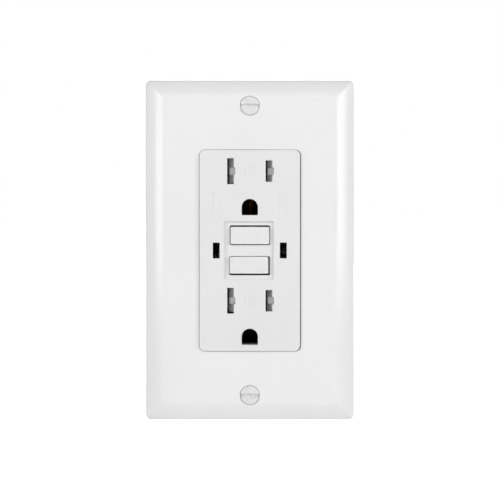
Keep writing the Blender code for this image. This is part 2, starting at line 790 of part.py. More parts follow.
def contact_arm(name, side, material):
    """A flat arm from the transformers to its moving contact."""
    outline = [
        (0.9, -22.6),
        (3.1, -22.6),
        (3.1, -18.9),
        (10.9, -8.0),
        (10.9, -3.9),
        (8.1, -3.9),
        (8.1, -7.2),
        (0.9, -17.4),
    ]
    flat = slab(mirrored(outline, side), (14.2, 15.0))
    arm = make(name, flat, material, (0, 14.6, TOROID_Z))
    add(arm, rod((13.4, 14.5), 1.3, centre=(side * CONTACT_X, CONTACT_Z), steps=12))


def test_contact():
    """A sprung strip that the test button's stem presses, on a foot."""
    heights = (BUTTON_Z["test"] - 0.9, BUTTON_Z["test"] + 0.9)
    strip = make("test_contact", block((-7.6, 1.6), (7.5, 7.9), heights), "brass")
    add(strip, block((-7.6, -7.1), (7.5, 13.4), heights))


# ---- The trip mechanism ------------------------------------------------------------------------


def contact_carriage():
    """The block that lifts both arms, hollow for the reset pin and slotted for the latch."""
    z = BUTTON_Z["reset"]
    wing = block((-11.0, 11.0), (15.3, 16.8), (-7.5, -3.5))
    carriage = make("contact_carriage", wing, "inner_plastic", (0, 15.3, z))
    add(carriage, block((-4.6, 4.6), (15.3, 22.4), (-8.6, -1.7)))
    cut(carriage, rod((14.0, 18.9), PIN_RADIUS + 0.4, centre=(0, z), steps=12))
    cut(carriage, rod((18.5, 24.0), 2.3, centre=(0, z), steps=12))
    cut(carriage, block((-3.6, 3.6), (19.3, 20.7), (-12.0, 0.0)))


def latch():
    """A steel slide with a keyhole: narrow around the pin at rest, wide when it has slid."""
    z = BUTTON_Z["reset"]
    plate = block((-3.2, 3.2), (19.6, 20.4), (-8.9, 1.2))
    slide = make("latch", plate, "zinc_steel", (0, 20.0, z))
    add(slide, block((-2.0, 2.0), (18.9, 22.1), (0.4, 1.2)))
    through = (18.0, 21.0)
    cut(slide, rod(through, 1.25, centre=(0, z), steps=12))
    cut(slide, rod(through, 2.2, centre=(0, z + LATCH_TRAVEL), steps=12))


def solenoid():
    centre = (0, MECHANISM_Y)
    low, high = COIL_Z
    spool = [
        (low, 4.3),
        (low + 0.8, 4.3),
        (low + 0.8, 2.7),
        (high - 0.8, 2.7),
        (high - 0.8, 4.3),
        (high, 4.3),
    ]
    bobbin = make("solenoid_bobbin", turned(spool, "z", centre, 12), "inner_plastic")
    cut(bobbin, rod((low + 0.9, high + 1), 2.2, "z", centre))
    cut(bobbin, rod((low - 1, low + 1.5), 1.3, "z", centre, 12))
    winding = (low + 0.8 + GAP, high - 0.8 - GAP)
    make("solenoid_winding", tube(winding, 3.0, 4.1, "z", centre), "copper")
    core = [(1.5, 0.9), (9.2, 0.9), (9.2, 1.9), (24.0, 1.9), (24.0, 2.9), (25.0, 2.9)]
    make("plunger", turned(core, "z", centre, 12), "zinc_steel", (0, MECHANISM_Y, low))
    coil("plunger_spring", "z", (high + 0.5, 23.5), 2.5, SPRING_WIRE, 4, centre)


def transformers():
    depth = (16.2, 23.9)
    centre = (0, TOROID_Z)
    housing = make("transformer_housing", centred(*centre, 17.4, 17.4, depth), "inner_plastic")
    cut(housing, tube((depth[0] + 0.8, depth[1] + 1), 3.9, 7.9, centre=centre))
    cut(housing, rod((depth[0] - 1, depth[1] + 1), 3.2, centre=centre))
    make("sense_transformer", tube((17.3, 20.1), 4.3, 7.5, centre=centre), "copper")
    make("neutral_transformer", tube((20.4, 23.2), 4.3, 7.5, centre=centre), "ferrite")


def circuit_board():
    depth = (BOARD_FRONT, BOARD_FRONT + BOARD_THICK)
    board = make("circuit_board", rounded_block(26.4, 62.4, 1.0, depth, steps=2), "board_green")
    pin_holes = [rod((24, 29), 0.6, centre=(x, -28.8), steps=10) for x in (-6.0, 6.0)]
    cut(board, *pin_holes)
    back = BOARD_FRONT - GAP
    can = [(16.3, 2.8), (16.7, 3.2), (back, 3.2)]
    make("capacitor", turned(can, centre=(-9.3, 8.0), steps=12), "epoxy_black")
    disc = [(8.0, 3.9), (8.5, 4.4), (10.4, 4.4), (10.9, 3.9)]
    make("varistor", turned(disc, "x", (back - 4.5, 9.5), 12), "varistor_blue")
    chip = rounded_block(3.6, 5.0, 0.3, (back - 1.5, back), x=-7.6, z=-5.0, steps=1)
    make("control_chip", chip, "epoxy_black")


# ---- The whole outlet --------------------------------------------------------------------------


def clear_scene():
    for old in list(bpy.data.objects):
        bpy.data.objects.remove(old, do_unlink=True)


def build():
    clear_scene()
    wall_plate()
    face_cover()
    mounting_strap()
    rear_case()
    separator()
    for name in BUTTON_SIZE:
        button(name)
        place = (0, BUTTON_Z[name])
        coil(f"{name}_spring", "y", (-2.6, 4.9), SPRING_RADIUS, SPRING_WIRE, 5, place)
    reset_pin()
    test_contact()
    for name, end in ENDS.items():
        plate_screw(name, end * PLATE_SCREW_Z)
        box_screw(name, end * BOX_SCREW_Z)
        shutter(name)
        shutter_retainer(name)
        ground_clip(name)
        middle = (sum(SHUTTER_Y) / 2, BLADE_Z[name])
        coil(f"shutter_spring_{name}", "x", SHUTTER_SPRING_X, 0.7, 0.12, 6, middle)
    for name, side in SIDES.items():
        light_pipe(name, side)
        led(name, side)
        for end, sign in ENDS.items():
            case_screw(f"{end}_{name}", (side * CASE_SCREW[0], sign * CASE_SCREW[1]))
    for pole, side, metal in (("hot", 1, "brass"), ("neutral", -1, "nickel")):
        contact_strip(f"{pole}_contacts", side, metal)
        line_terminal(f"line_{pole}_terminal", side, metal)
        contact_arm(f"{pole}_arm", side, metal)
        for job, end in (("load", 1), ("line", -1)):
            z = end * TERMINAL_Z
            clamp_plate(f"{job}_{pole}", side, z)
            side_screw(f"{job}_{pole}_screw", side, (TERMINAL_Y, z), 18.4, 14.2, metal)
    side_screw("ground_screw", -1, (GROUND_TAB_Y, GROUND_TAB_Z), 11.0, 5.0, "green_screw")
    contact_carriage()
    latch()
    solenoid()
    transformers()
    circuit_board()


build()
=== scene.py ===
"""The looks of a GFCI outlet: fine meshes for what shows, procedural materials, soft studio light."""

import json
import math

import bmesh
import bpy
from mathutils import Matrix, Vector


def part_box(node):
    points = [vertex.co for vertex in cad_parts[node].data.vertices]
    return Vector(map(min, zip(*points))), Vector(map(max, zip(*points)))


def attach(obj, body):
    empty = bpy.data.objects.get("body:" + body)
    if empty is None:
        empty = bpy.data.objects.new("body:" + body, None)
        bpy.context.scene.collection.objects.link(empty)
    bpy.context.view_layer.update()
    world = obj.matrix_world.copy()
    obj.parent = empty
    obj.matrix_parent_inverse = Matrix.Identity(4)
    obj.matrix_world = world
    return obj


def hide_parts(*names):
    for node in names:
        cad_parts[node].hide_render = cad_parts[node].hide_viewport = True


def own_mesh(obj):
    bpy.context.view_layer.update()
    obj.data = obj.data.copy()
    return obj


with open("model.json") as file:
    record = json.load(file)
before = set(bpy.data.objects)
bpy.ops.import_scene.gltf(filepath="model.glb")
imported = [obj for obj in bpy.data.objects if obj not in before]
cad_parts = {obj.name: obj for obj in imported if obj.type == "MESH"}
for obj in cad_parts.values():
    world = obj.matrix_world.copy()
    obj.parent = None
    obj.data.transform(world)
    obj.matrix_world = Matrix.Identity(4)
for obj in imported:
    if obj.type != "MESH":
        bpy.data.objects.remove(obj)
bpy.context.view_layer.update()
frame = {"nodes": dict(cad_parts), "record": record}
NODES = frame["nodes"]
RECORD = frame["record"]
SLOT_OF = {row["node"]: row["material_slot"] for row in RECORD["subparts"]}
MM = 0.001

SIDES = {"right": 1, "left": -1}
ENDS = {"upper": 1, "lower": -1}


def span(node):
    """A node's lowest and highest corner, in millimetres."""
    low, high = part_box(node)
    return Vector(low) / MM, Vector(high) / MM


def middle(node):
    low, high = span(node)
    return (low + high) / 2


PLATE_LOW, PLATE_HIGH = span("wall_plate")
PLATE_WIDTH = PLATE_HIGH.x - PLATE_LOW.x
PLATE_HEIGHT = PLATE_HIGH.z - PLATE_LOW.z
PLATE_FRONT = PLATE_LOW.y
PLATE_CORNER = 1.6
PLATE_SCREW_Z = middle("plate_screw_upper").z
FACE_LOW, FACE_HIGH = span("face_cover")
FACE_FRONT = FACE_LOW.y
FACE_SIZE = (33.5, 67.1)
FACE_CORNER = 1.8
FACE_INSIDE = FACE_FRONT + 2.0
SEAM_X = (0.14, 0.38)  # the gap round the face, left and right: it sits a little off centre
SEAM_Z = (0.18, 0.15)
BODY_SIZE = (FACE_HIGH.x - FACE_LOW.x, FACE_HIGH.z - FACE_LOW.z)
FLANGE = (0.4, FACE_HIGH.y)
GAP = 0.3

BLADE_X = 6.42
BLADE_Z = {"upper": 26.5, "lower": -16.8}
SHUTTER_TRAVEL = 2.9
GROUND_DROP = 12.0  # from the middle of the blade slots down to the ground hole's arch
GROUND_RADIUS = 2.7
SLOT_WIDTH = 2.25
SLOT_HEIGHT = {"right": 7.15, "left": 8.65}
NOTCH = (0.45, 2.4)  # a step in each slot's right side: how far it reaches out, and its height
WELL = {"x": -0.3, "z": 0.0, "size": (16.6, 19.4), "floor": -5.6}
WINDOW = {"x": 11.2, "size": (2.3, 5.3)}
BUTTONS = {  # each gap is given left and right, then below and above; lip rounds the opening's edge
    "test": {
        "size": (12.85, 5.75),
        "place": (0.05, 4.98),
        "gap_x": (0.22, 0.22),
        "gap_z": (0.3, 0.55),
        "lip": (0.3, 0.0),
    },
    "reset": {
        "size": (12.75, 5.6),
        "place": (-0.28, -4.9),
        "gap_x": (0.2, 0.7),
        "gap_z": (0.6, 0.18),
        "lip": (0.02, 0.0),
    },
}
CASE_SCREW = (17.2, 29.6)


# ---- Materials ---------------------------------------------------------------------------------


class Finish:
    """A Principled material whose colour, roughness and bump come from noise in object space."""

    def __init__(self, name, metallic=0.0, coat=0.0, specular=0.5):
        self.material = bpy.data.materials.new(name)
        self.material.use_nodes = True
        self.tree = self.material.node_tree
        self.shader = self.tree.nodes["Principled BSDF"]
        self.shader.inputs["Metallic"].default_value = metallic
        self.shader.inputs["Coat Weight"].default_value = coat
        self.shader.inputs["Specular IOR Level"].default_value = specular
        self.place = self.tree.nodes.new("ShaderNodeTexCoord").outputs["Object"]

    def link(self, out, into):
        self.tree.links.new(out, into)

    def stretched(self, scale):
        """Object coordinates stretched along an axis, for brushed and drawn metal."""
        node = self.tree.nodes.new("ShaderNodeMapping")
        node.inputs["Scale"].default_value = scale
        self.link(self.place, node.inputs["Vector"])
        return node.outputs["Vector"]

    def noise(self, scale, detail=4.0, place=None, rough=0.55):
        node = self.tree.nodes.new("ShaderNodeTexNoise")
        node.inputs["Scale"].default_value = scale
        node.inputs["Detail"].default_value = detail
        node.inputs["Roughness"].default_value = rough
        self.link(place or self.place, node.inputs["Vector"])
        return node.outputs["Fac"]

    def cells(self, scale, place=None):
        node = self.tree.nodes.new("ShaderNodeTexVoronoi")
        node.inputs["Scale"].default_value = scale
        self.link(place or self.place, node.inputs["Vector"])
        return node.outputs["Distance"]

    def ramp(self, fac, stops):
        """A colour ramp from (position, colour) stops."""
        node = self.tree.nodes.new("ShaderNodeValToRGB")
        elements = node.color_ramp.elements
        while len(elements) < len(stops):
            elements.new(0.5)
        for element, (position, colour) in zip(elements, stops):
            element.position = position
            element.color = (*colour, 1.0)
        self.link(fac, node.inputs["Fac"])
        return node.outputs["Color"]

    def between(self, fac, low, high):
        """A number that follows the noise from low to high."""
        node = self.tree.nodes.new("ShaderNodeMapRange")
        node.inputs["From Min"].default_value = 0.3
        node.inputs["From Max"].default_value = 0.7
        node.inputs["To Min"].default_value = low
        node.inputs["To Max"].default_value = high
        self.link(fac, node.inputs["Value"])
        return node.outputs["Result"]

    def blend(self, fac, first, second):
        node = self.tree.nodes.new("ShaderNodeMix")
        node.data_type = "RGBA"
        self.link(fac, node.inputs["Factor"])
        self.link(first, node.inputs["A"])
        self.link(second, node.inputs["B"])
        return node.outputs["Result"]

    def colour(self, out):
        self.link(out, self.shader.inputs["Base Color"])

    def roughness(self, out):
        self.link(out, self.shader.inputs["Roughness"])

    def bump(self, out, depth, strength=1.0):
        """Adds one layer of bump, its depth in metres, over any before it."""
        node = self.tree.nodes.new("ShaderNodeBump")
        node.inputs["Strength"].default_value = strength
        node.inputs["Distance"].default_value = depth
        self.link(out, node.inputs["Height"])
        normal = self.shader.inputs["Normal"]
        if normal.is_linked:
            self.link(normal.links[0].from_socket, node.inputs["Normal"])
        self.link(node.outputs["Normal"], normal)
        return self


def shade(colour, factor):
    return tuple(min(1.0, channel * factor) for channel in colour)


def moulded(name, colour, rough, grain, coat=0.0):
    """Injection-moulded plastic: flow shading, orange peel and a fine grain."""
    finish = Finish(name, coat=coat)
    flow = finish.noise(38.0, 3.0)
    stops = [(0.3, shade(colour, 0.985)), (0.5, colour), (0.72, shade(colour, 1.012))]
    finish.colour(finish.ramp(flow, stops))
    finish.roughness(finish.between(finish.noise(260.0, 5.0), *rough))
    finish.bump(finish.noise(420.0, 2.0), 6e-6)
    finish.bump(finish.noise(5200.0, 3.0), grain)
    return finish.material


def plated(name, colour, rough, spangle=900.0, streak=(900.0, 60.0, 900.0)):
    """Plated or rolled metal: crystal patches, rolling streaks and small dings."""
    finish = Finish(name, metallic=1.0)
    patches = finish.cells(spangle)
    rolled = finish.noise(1.0, 5.0, finish.stretched(streak))
    dull = finish.ramp(patches, [(0.0, shade(colour, 0.86)), (0.8, shade(colour, 1.06))])
    clean = finish.ramp(rolled, [(0.25, shade(colour, 0.9)), (0.75, shade(colour, 1.08))])
    finish.colour(finish.blend(finish.noise(120.0, 3.0), dull, clean))
    finish.roughness(finish.between(rolled, *rough))
    finish.bump(rolled, 3e-6)
    finish.bump(finish.noise(1500.0, 3.0), 4e-6)
    return finish.material


def wound(name, colour):
    """Enamelled copper wire: bright and dark turns with a lacquer over them."""
    finish = Finish(name, metallic=0.9, coat=0.6)
    turns = finish.noise(1600.0, 2.0)
    stops = [(0.3, shade(colour, 0.6)), (0.55, colour), (0.8, shade(colour, 1.3))]
    finish.colour(finish.ramp(turns, stops))
    finish.roughness(finish.between(finish.noise(700.0), 0.22, 0.38))
    finish.bump(turns, 8e-6)
    return finish.material


def enamelled(name, colour, metallic, rough):
    """Paint or dye on a steel screw, worn a little darker in patches."""
    finish = Finish(name, metallic=metallic, coat=0.25)
    wear = finish.noise(700.0, 5.0)
    stops = [(0.28, shade(colour, 0.9)), (0.42, colour), (0.8, shade(colour, 1.03))]
    finish.colour(finish.ramp(wear, stops))
    finish.roughness(finish.between(wear, *rough))
    finish.bump(finish.noise(1900.0, 3.0), 5e-6)
    return finish.material


def lens(name, colour, depth, gloss=0.5):
    """A tinted lens, seen as a dark or coloured body with small lighter specks, which are painted glints,
    and a smooth gloss.
    """
    finish = Finish(name, specular=gloss)
    glint_and_bump_noise = finish.noise(1400.0, 1.0)
    # The last stop, named depth, is the colour of the painted glints: lighter specks, as if light caught
    # inside the lens.
    stops = [(0.35, shade(colour, 0.7)), (0.56, colour), (0.66, depth)]
    finish.colour(finish.ramp(glint_and_bump_noise, stops))
    finish.roughness(finish.between(finish.noise(500.0), 0.08, 0.18))
    finish.bump(glint_and_bump_noise, 2e-6)
    return finish.material


def circuit(name, colour):
    """Solder mask over copper traces, with tinned pads."""
    finish = Finish(name, specular=0.5, coat=0.3)
    grid = finish.cells(330.0, finish.stretched((1.0, 0.0, 1.0)))
    tin = (0.62, 0.6, 0.52)
    stops = [(0.0, tin), (0.12, tin), (0.16, shade(colour, 1.5)), (0.55, colour)]
    finish.colour(finish.ramp(grid, stops))
    finish.roughness(finish.between(finish.noise(800.0), 0.3, 0.5))
    finish.bump(grid, 2e-5)
    return finish.material


MATERIALS = {
    "plate": moulded("plate", (0.885, 0.885, 0.883), (0.13, 0.19), 8e-7),
    "face": moulded("face", (0.83, 0.83, 0.825), (0.3, 0.38), 1.2e-6),
    "button": moulded("button", (0.835, 0.835, 0.83), (0.26, 0.34), 1e-6),
    "shutter": moulded("shutter", (0.66, 0.66, 0.655), (0.4, 0.5), 2e-6),
    "screw_paint": enamelled("screw_paint", (0.79, 0.79, 0.785), 0.0, (0.22, 0.36)),
    "green_screw": enamelled("green_screw", (0.05, 0.3, 0.12), 0.6, (0.25, 0.42)),
    "zinc_steel": plated("zinc_steel", (0.66, 0.67, 0.69), (0.28, 0.46)),
    "spring_steel": plated("spring_steel", (0.55, 0.55, 0.56), (0.18, 0.34)),
    "brass": plated("brass", (0.8, 0.6, 0.28), (0.22, 0.4), 500.0, (60.0, 900.0, 900.0)),
    "nickel": plated("nickel", (0.74, 0.72, 0.67), (0.2, 0.36), 500.0, (60.0, 900.0, 900.0)),
    "copper": wound("copper", (0.68, 0.3, 0.14)),
    "case_black": moulded("case_black", (0.045, 0.045, 0.05), (0.42, 0.56), 5e-6),
    "inner_plastic": moulded("inner_plastic", (0.07, 0.075, 0.085), (0.42, 0.56), 4e-6),
    # The second colour of each lens is its painted glints.
    "smoked_lens": lens("smoked_lens", (0.0006, 0.0006, 0.0006), (0.045, 0.045, 0.046), 0.03),
    "led_lens": lens("led_lens", (0.5, 0.72, 0.45), (0.8, 0.95, 0.75)),
    "board_green": circuit("board_green", (0.02, 0.16, 0.07)),
    "ferrite": moulded("ferrite", (0.05, 0.05, 0.055), (0.6, 0.8), 6e-6),
    "varistor_blue": moulded("varistor_blue", (0.03, 0.1, 0.4), (0.2, 0.32), 3e-6, coat=0.5),
    # Brass painted nearly black: painted shade, since the ground clips sit deep in the ground holes where
    # shade falls.
    "shade_darkened_brass": plated("shade_darkened_brass", (0.014, 0.013, 0.011), (0.5, 0.65), 500.0, (60.0, 900.0, 900.0)),
    "epoxy_black": moulded("epoxy_black", (0.025, 0.025, 0.027), (0.45, 0.6), 4e-6),
}


# ---- Mesh builders, in millimetres ---------------------------------------------------------------


def to_object(name, shape):
    bmesh.ops.recalc_face_normals(shape, faces=shape.faces)
    bmesh.ops.scale(shape, verts=shape.verts, vec=(MM, MM, MM))
    mesh = bpy.data.meshes.new(name)
    shape.to_mesh(mesh)
    shape.free()
    made = bpy.data.objects.new(name, mesh)
    bpy.context.scene.collection.objects.link(made)
    return made


def loft(rings, closed=False):
    """A skin through rings of equal count: capped at its ends, or closed on itself."""
    shape = bmesh.new()
    loops = [[shape.verts.new(point) for point in ring] for ring in rings]
    count = len(loops[0])
    following = loops[1:] + (loops[:1] if closed else [])
    for first, second in zip(loops, following):
        for i in range(count):
            j = (i + 1) % count
            shape.faces.new((first[i], first[j], second[j], second[i]))
    if not closed:
        shape.faces.new(loops[0])
        shape.faces.new(loops[-1])
    return shape


def rounded(size, radius, y, x=0.0, z=0.0, steps=6):
    """One ring: a rectangle with round corners, at one depth."""
    width, height = size
    points = []
    for quarter, (side, end) in enumerate(((1, 1), (-1, 1), (-1, -1), (1, -1))):
        for step in range(steps + 1):
            angle = (quarter + step / steps) * math.pi / 2
            across = side * (width / 2 - radius) + radius * math.cos(angle)
            up = end * (height / 2 - radius) + radius * math.sin(angle)
            points.append((x + across, y, z + up))
    return points


def grown(size, by):
    return (size[0] + 2 * by, size[1] + 2 * by)


def rounded_block(size, radius, y, x=0.0, z=0.0, steps=6):
    return loft([rounded(size, radius, depth, x, z, steps) for depth in y])


def mouth(size, radius, front, back, x=0.0, z=0.0, lip=(0.2, 0.2), steps=6):
    """A cutter for an opening whose front edge is rounded, sideways and upwards by its two lips."""
    deepest = max(lip)

    def ring(share, depth):
        width, height = (side + 2 * share * reach for side, reach in zip(size, lip))
        corner = radius + share * min(lip)
        return rounded((width, height), corner, depth, x, z, steps)

    rings = [ring(1.6, front - 1.0)]
    for step in range(5):
        angle = step / 4 * math.pi / 2
        rings.append(ring(1 - math.sin(angle), front + deepest * (1 - math.cos(angle))))
    rings.append(ring(0.0, back))
    return loft(rings)


AXES = {
    "x": lambda along, u, v: (along, u, v),
    "y": lambda along, u, v: (u, along, v),
    "z": lambda along, u, v: (u, v, along),
}


def circle(along, radius, axis, centre, steps):
    ring = []
    for step in range(steps):
        angle = 2 * math.pi * step / steps
        u = centre[0] + radius * math.cos(angle)
        v = centre[1] + radius * math.sin(angle)
        ring.append(AXES[axis](along, u, v))
    return ring


def turned(profile, axis="y", centre=(0, 0), steps=48):
    """A round piece: rings of (place along the axis, radius), capped flat at both ends."""
    return loft([circle(along, radius, axis, centre, steps) for along, radius in profile])


def helix(axis, run, radius, wire, turns, centre=(0, 0), sides=8, steps=22):
    """Round wire in a coil, its first and last turn laid flat."""
    total = round((turns + 2) * steps)
    rings = []
    low, high = run[0] + wire, run[1] - wire
    for i in range(total + 1):
        turn = i / steps
        share = min(max((turn - 1) / turns, 0.0), 1.0)
        along = low + (high - low) * share
        along += 1.9 * wire * (min(turn, 1.0) - 1.0) * (1 if share == 0 else 0)
        angle = 2 * math.pi * turn
        ring = []
        for k in range(sides):
            around = 2 * math.pi * k / sides
            reach = radius + wire * math.cos(around)
            u = centre[0] + reach * math.cos(angle)
            v = centre[1] + reach * math.sin(angle)
            ring.append(AXES[axis](along + wire * math.sin(around), u, v))
        rings.append(ring)
    return loft(rings)


def combine(piece, operation, *shapes):
    """Adds or cuts away shapes, then applies the Boolean so that the mesh stands alone."""
    for shape in shapes:
        tool = to_object("tool", shape)
        change = piece.modifiers.new("change", "BOOLEAN")
        change.operation = operation
        change.object = tool
        change.solver = "EXACT"
        graph = bpy.context.evaluated_depsgraph_get()
        mesh = bpy.data.meshes.new_from_object(piece.evaluated_get(graph))
        piece.modifiers.clear()
        piece.data = mesh
        bpy.data.objects.remove(tool, do_unlink=True)
    return piece


def add(piece, *shapes):
    return combine(piece, "UNION", *shapes)


def cut(piece, *shapes):
    return combine(piece, "DIFFERENCE", *shapes)


def smooth(piece, angle=32):
    """Smooth shading that keeps flat faces flat and creases crisp."""
    piece.data.shade_smooth()
    piece.data.set_sharp_from_angle(angle=math.radians(angle))
    weights = piece.modifiers.new("weights", "WEIGHTED_NORMAL")
    weights.keep_sharp = True
    return piece


def finish_piece(piece, node, body="outlet", angle=32, bevel=0.0):
    """Gives a new piece its shading, material and body, and hides the node that it stands for."""
    if bevel:
        soften(piece, bevel)
    smooth(piece, angle)
    piece.data.materials.clear()
    piece.data.materials.append(MATERIALS[SLOT_OF[node]])
    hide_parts(node)
    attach(piece, body)
    return piece


def soften(piece, width, angle=38, segments=2):
    """Rounds the hard edges of a piece; the Weld and Decimate only tidy faces that lie flat."""
    weld = piece.modifiers.new("weld", "WELD")
    weld.merge_threshold = 1e-6
    flat = piece.modifiers.new("flat", "DECIMATE")
    flat.decimate_type = "DISSOLVE"
    flat.angle_limit = math.radians(0.4)
    bevel = piece.modifiers.new("bevel", "BEVEL")
    bevel.width = width * MM
    bevel.segments = segments
    bevel.limit_method = "ANGLE"
    bevel.angle_limit = math.radians(angle)
    bevel.use_clamp_overlap = True
    bevel.harden_normals = False


# ---- Wall plate and its screws -------------------------------------------------------------------


def eased(points, steps=4):
    """A smooth line through points, by Catmull-Rom."""
    line = []
    padded = [points[0], *points, points[-1]]
    for i in range(1, len(padded) - 2):
        before, here, there, after = (Vector(padded[i + k]) for k in (-1, 0, 1, 2))
        for step in range(steps):
            t = step / steps
            line.append(
                0.5
                * (
                    2 * here
                    + (there - before) * t
                    + (2 * before - 5 * here + 4 * there - after) * t * t
                    + (3 * here - before - 3 * there + after) * t**3
                )
            )
    line.append(Vector(points[-1]))
    return line


def plate_rings():
    """The plate's outline at each depth, from inside its hollow back round the rim to its front."""
    slope = [(0.0, -1.35), (0.1, -1.7), (0.42, -2.22), (1.1, -2.79), (2.1, -3.52), (3.1, -4.17)]
    crest = [(4.0, -4.69), (5.0, -5.17), (6.0, -5.48), (6.6, -5.565), (7.3, PLATE_FRONT)]
    inside = [(6.3, -3.4), (4.4, -2.9), (2.4, -1.3), (2.25, 0.0)]
    profile = [*inside, (0.15, 0.0), (0.0, -0.15), *eased([*slope, *crest])]
    rings = []
    for inset, depth in profile:
        size = grown((PLATE_WIDTH, PLATE_HEIGHT), -inset)
        corner = max(PLATE_CORNER - inset / 2, 0.5)
        rings.append(rounded(size, corner, depth, steps=8))
    return rings


def wall_plate():
    """The plate: a short rim, a convex slope, a soft crest and a flat front, hollow behind."""
    plate = to_object("plate", loft(plate_rings()))
    opening = (FACE_SIZE[0] + sum(SEAM_X), FACE_SIZE[1] + sum(SEAM_Z))
    corner = FACE_CORNER + 0.15
    place = ((SEAM_X[1] - SEAM_X[0]) / 2, (SEAM_Z[1] - SEAM_Z[0]) / 2)
    backing = (-3.7, -1.7)
    add(plate, rounded_block(grown(FACE_SIZE, 2.1), 3.0, backing))
    for end in ENDS.values():
        z = end * PLATE_SCREW_Z
        add(plate, turned([(backing[0], 3.0), (backing[1], 3.0)], centre=(0, z), steps=40))
        for side in SIDES.values():
            rib_place = (side * 12.0, end * 44.5)
            add(plate, rounded_block((0.9, 9.0), 0.3, backing, *rib_place, steps=2))
    cut(plate, mouth(opening, corner, PLATE_FRONT, 2.0, *place, lip=(0.05, 0.05), steps=10))
    sink = [(-7.0, 3.6), (PLATE_FRONT, 3.38), (-5.52, 3.32), (-5.2, 3.3)]
    sink += [(-3.6, 1.95), (2.0, 1.95)]
    for end in ENDS.values():
        cut(plate, turned(sink, centre=(0, end * PLATE_SCREW_Z), steps=64))
    finish_piece(plate, "wall_plate", angle=30)


def plate_screw(end):
    """An oval head with a rounded rim and a straight slot, over a threaded shank."""
    node = f"plate_screw_{end}"
    z = middle(node).z
    head = [(-6.1, 0.02), (-6.09, 0.8), (-6.03, 1.5), (-5.92, 2.2), (-5.76, 2.7), (-5.62, 3.0)]
    rim = [(-5.53, 3.11), (-5.42, 3.15), (-5.34, 3.1)]
    neck = [(-3.9, 1.65), (-3.7, 1.45), (-3.0, 1.45)]
    profile = [*head, *rim, *neck]
    screw = to_object(f"{node}_fine", turned(profile, centre=(0, z), steps=64))
    add(screw, thread("y", (-3.4, 6.7), 1.2, 1.58, (0, z)))
    cut(screw, slot_cutter(z, 1.2, (-7.0, -5.1)))
    finish_piece(screw, node, angle=28)


def slot_cutter(z, width, y):
    """The slot across a screw's head: a little wider at its mouth, and its upper wall leans in."""
    reach = 8.0
    lean = 0.25
    half = width / 2
    wide = half + 0.08
    front, floor = y
    throat = floor - 0.75
    mouth_end = floor - 1.0
    upper = [(wide, front), (wide, mouth_end), (half, throat), (half - lean, floor)]
    lower = [(-half, floor), (-half, throat), (-wide, mouth_end)]
    outline = [(-wide, front), *upper, *lower]
    return loft([[(along, depth, z + up) for up, depth in outline] for along in (-reach, reach)])


def thread(axis, run, core, crest, centre, pitch=0.79, steps=20):
    """A V-thread as one closed helical surface with plain ends."""
    turns = (run[1] - run[0]) / pitch
    rows = round(turns * 4)
    rings = []
    for row in range(rows + 1):
        along = run[0] + (run[1] - run[0]) * row / rows
        fade = min(row / 4, (rows - row) / 4, 1.0)
        ring = []
        for step in range(steps):
            around = step / steps
            phase = ((along - run[0]) / pitch + around) % 1.0
            ridge = 1 - abs(2 * phase - 1)
            radius = core + (crest - core) * ridge * fade
            angle = 2 * math.pi * around
            u = centre[0] + radius * math.cos(angle)
            v = centre[1] + radius * math.sin(angle)
            ring.append(AXES[axis](along, u, v))
        rings.append(ring)
    return loft(rings)


# ---- Face cover and buttons ----------------------------------------------------------------------


def ground_ring(z, grow, y):
    """One ring of the ground hole: a half circle over a square foot with small round corners."""
    radius = GROUND_RADIUS + grow
    steps = 24
    ring = []
    for i in range(steps + 1):
        angle = math.pi * i / steps
        ring.append((radius * math.cos(angle), y, z + radius * math.sin(angle)))
    foot = z - radius
    corner = 0.35
    for side, quarter in ((-1, 2), (1, 3)):
        for i in range(4):
            angle = (quarter + i / 3) * math.pi / 2
            x = side * (radius - corner) + corner * math.cos(angle)
            ring.append((x, y, foot + corner + corner * math.sin(angle)))
    return ring


